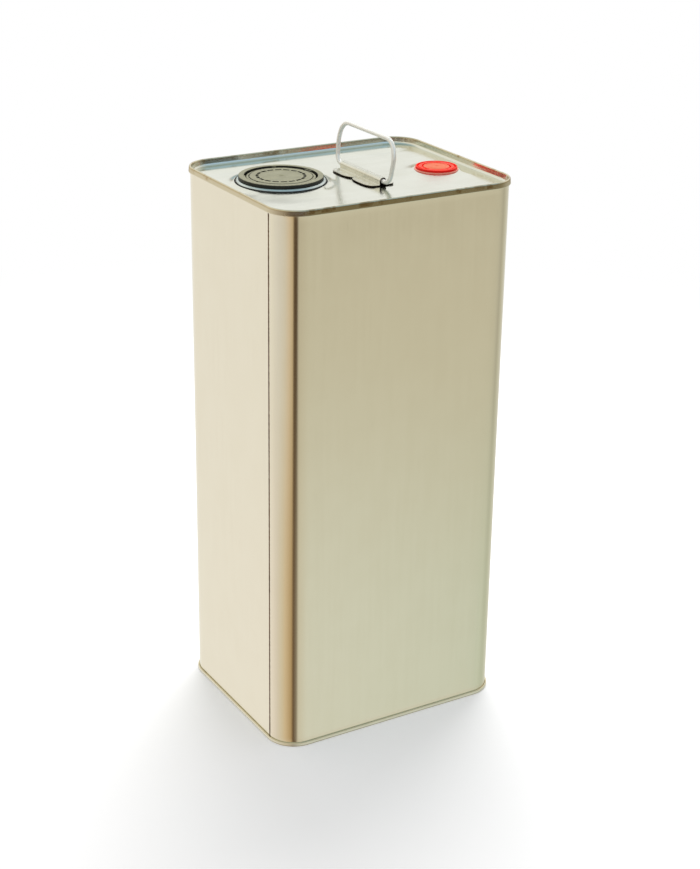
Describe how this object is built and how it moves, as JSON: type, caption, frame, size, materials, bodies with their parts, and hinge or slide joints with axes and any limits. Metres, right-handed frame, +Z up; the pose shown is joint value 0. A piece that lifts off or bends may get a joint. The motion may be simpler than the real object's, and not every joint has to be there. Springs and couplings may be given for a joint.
{
  "type": "tin can",
  "caption": "Tall rectangular tinplate can with double-seamed ends, a pull-up pouring spout under a screw cap, a plug vent and a fold-down wire handle.",
  "frame": {"origin": "on the ground under the middle of the can", "axes": "+Z up, X along the wide sides with the pouring spout at the -X end of the lid, Y along the narrow sides"},
  "size_m": [0.1864, 0.1518, 0.4245],
  "materials": {
    "wall_tinplate": "plain tinplate, satin bright",
    "end_tinplate": "plain tinplate, satin bright",
    "bottom_tinplate": "plain tinplate, satin bright",
    "seam_compound": "matt sealing compound",
    "plate_steel": "tinned, satin bright",
    "wire_steel": "bright drawn wire",
    "ring_steel": "tinned, bright",
    "gasket_rubber": "matt rubber",
    "black_plastic": "moulded, satin",
    "web_plastic": "thin moulded, satin",
    "liner_foam": "matt foam",
    "seat_plastic": "moulded, satin",
    "plug_plastic": "moulded, satin",
    "ring_plastic": "moulded, satin"
  },
  "bodies": {
    "can": {"body_wall": "wall_tinplate", "top_end": "end_tinplate", "bottom_end": "bottom_tinplate", "top_seam_compound": "seam_compound", "bottom_seam_compound": "seam_compound", "handle_plate": "plate_steel", "spout_crimp_ring": "ring_steel", "spout_gasket": "gasket_rubber", "spout_collar": "black_plastic", "spout_web": "web_plastic", "vent_seat": "seat_plastic"},
    "handle": {"handle_wire": "wire_steel"},
    "spout": {"spout_sleeve": "black_plastic"},
    "cap_seal": {"cap_liner": "liner_foam"},
    "cap": {"spout_cap": "black_plastic"},
    "front_bail": {"bail_front": "black_plastic"},
    "back_bail": {"bail_back": "black_plastic"},
    "vent": {"vent_plug": "plug_plastic", "vent_liner": "liner_foam"},
    "vent_ring": {"vent_pull_ring": "ring_plastic"}
  },
  "joints": [
    {"name": "handle_swing", "type": "hinge", "parent": "can", "child": "handle", "pos_m": [0.0096, -0.003, 0.3942], "axis": [0, 1, 0], "range_deg": [-86, 82]},
    {"name": "spout_pull", "type": "slide", "parent": "can", "child": "spout", "axis": [0, 0, 1], "range_m": [0, 0.036], "deforming": ["spout_web"]},
    {"name": "cap_lift", "type": "slide", "parent": "spout", "child": "cap_seal", "axis": [0, 0, 1], "range_m": [0, 0.05]},
    {"name": "cap_turn", "type": "hinge", "parent": "cap_seal", "child": "cap", "pos_m": [-0.04735, 0.01005, 0.3908], "axis": [0, 0, 1], "continuous": true},
    {"name": "front_bail_lift", "type": "hinge", "parent": "cap", "child": "front_bail", "pos_m": [-0.04702, 0.0089, 0.395], "axis": [-0.9613, -0.2756, 0], "range_deg": [0, 85]},
    {"name": "back_bail_lift", "type": "hinge", "parent": "cap", "child": "back_bail", "pos_m": [-0.04768, 0.0112, 0.395], "axis": [0.9613, 0.2756, 0], "range_deg": [0, 85]},
    {"name": "vent_pull", "type": "slide", "parent": "can", "child": "vent", "axis": [0, 0, 1], "range_m": [0, 0.02]},
    {"name": "vent_ring_lift", "type": "hinge", "parent": "vent", "child": "vent_ring", "pos_m": [0.05396, -0.01202, 0.39465], "axis": [0.2079, -0.9781, 0], "range_deg": [0, 80]}
  ]
}
